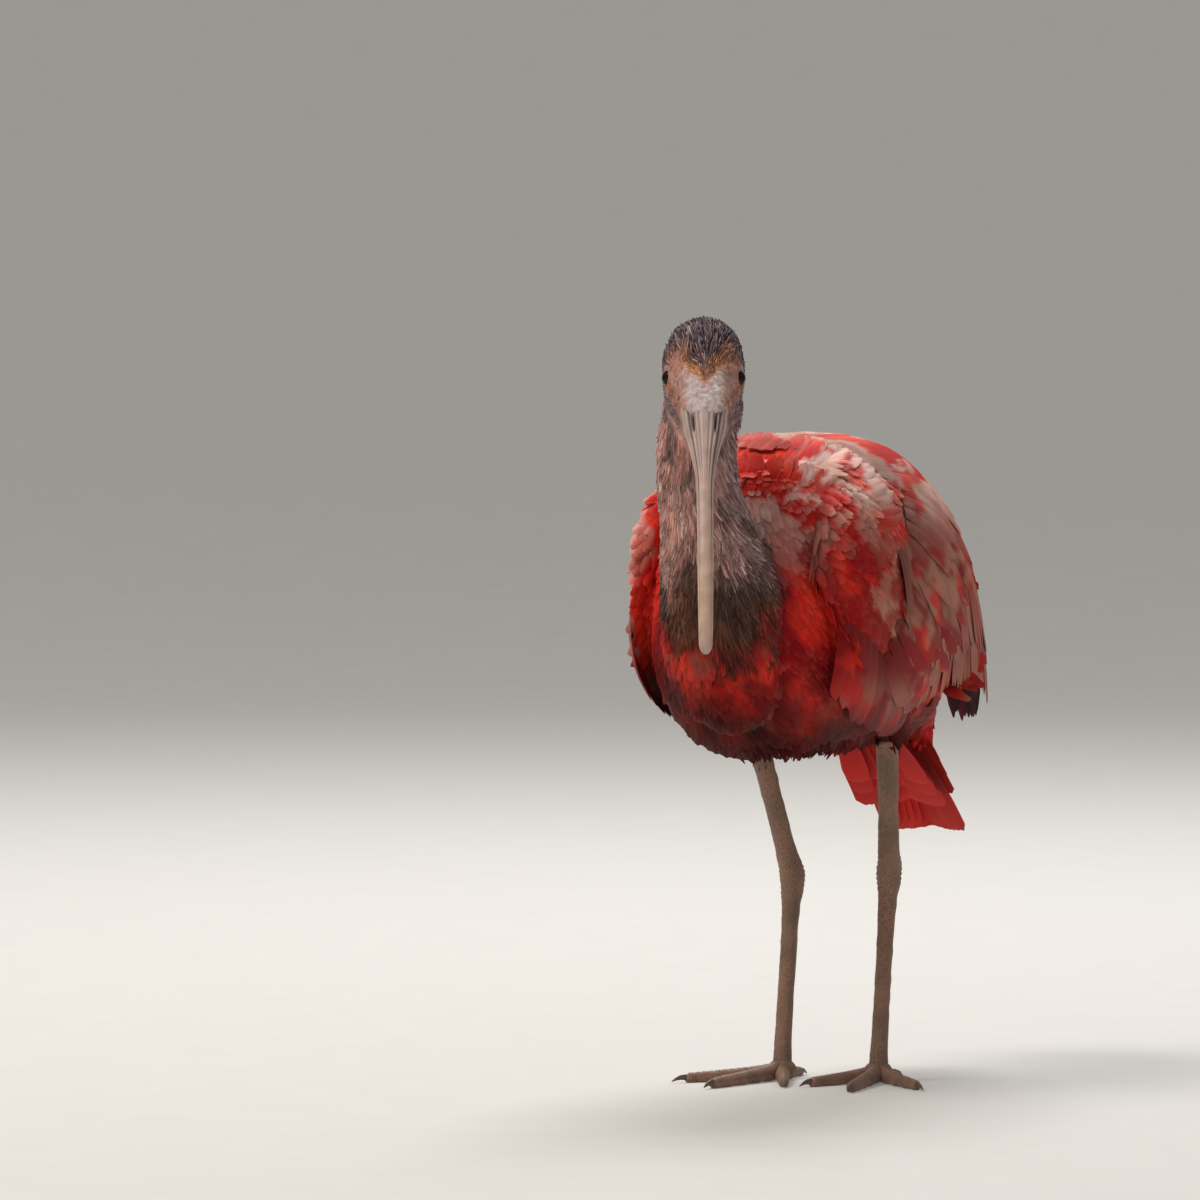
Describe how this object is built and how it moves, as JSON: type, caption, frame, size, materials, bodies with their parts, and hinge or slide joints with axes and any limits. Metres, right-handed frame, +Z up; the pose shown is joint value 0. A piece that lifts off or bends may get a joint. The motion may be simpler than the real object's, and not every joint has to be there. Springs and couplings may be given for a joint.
{
  "type": "scarlet ibis",
  "caption": "Life-size wading bird standing on both feet: folded wings, short drooping tail, head turned to its left, long down-curved bill.",
  "frame": {"origin": "middle of the model's bounding box in plan, on the floor under the soles", "axes": "+Z up, -Y the way the breast faces, +X the bird's own left side"},
  "size_m": [0.1266, 0.3446, 0.3332],
  "materials": {
    "body_plumage": "soft feathers, scarlet mottled with buff",
    "wing_plumage": "soft feathers, buff and scarlet",
    "neck_plumage": "short brown feathers with pale edges",
    "bill": "satin horn, finely grooved",
    "eye": "wet gloss",
    "leg_skin": "fine scales",
    "claw": "satin horn"
  },
  "bodies": {
    "root": {"torso": "body_plumage", "neck": "neck_plumage", "head": "neck_plumage", "bill_upper": "bill", "bill_lower": "bill", "eye_left": "eye", "eye_right": "eye", "wing_left": "wing_plumage", "wing_right": "wing_plumage", "tail": "body_plumage", "thigh_left": "body_plumage", "shank_left": "leg_skin", "tarsus_left": "leg_skin", "toe_inner_left": "leg_skin", "claw_inner_left": "claw", "toe_middle_left": "leg_skin", "claw_middle_left": "claw", "toe_outer_left": "leg_skin", "claw_outer_left": "claw", "toe_hind_left": "leg_skin", "claw_hind_left": "claw", "thigh_right": "body_plumage", "shank_right": "leg_skin", "tarsus_right": "leg_skin", "toe_inner_right": "leg_skin", "claw_inner_right": "claw", "toe_middle_right": "leg_skin", "claw_middle_right": "claw", "toe_outer_right": "leg_skin", "claw_outer_right": "claw", "toe_hind_right": "leg_skin", "claw_hind_right": "claw"}
  },
  "joints": []
}
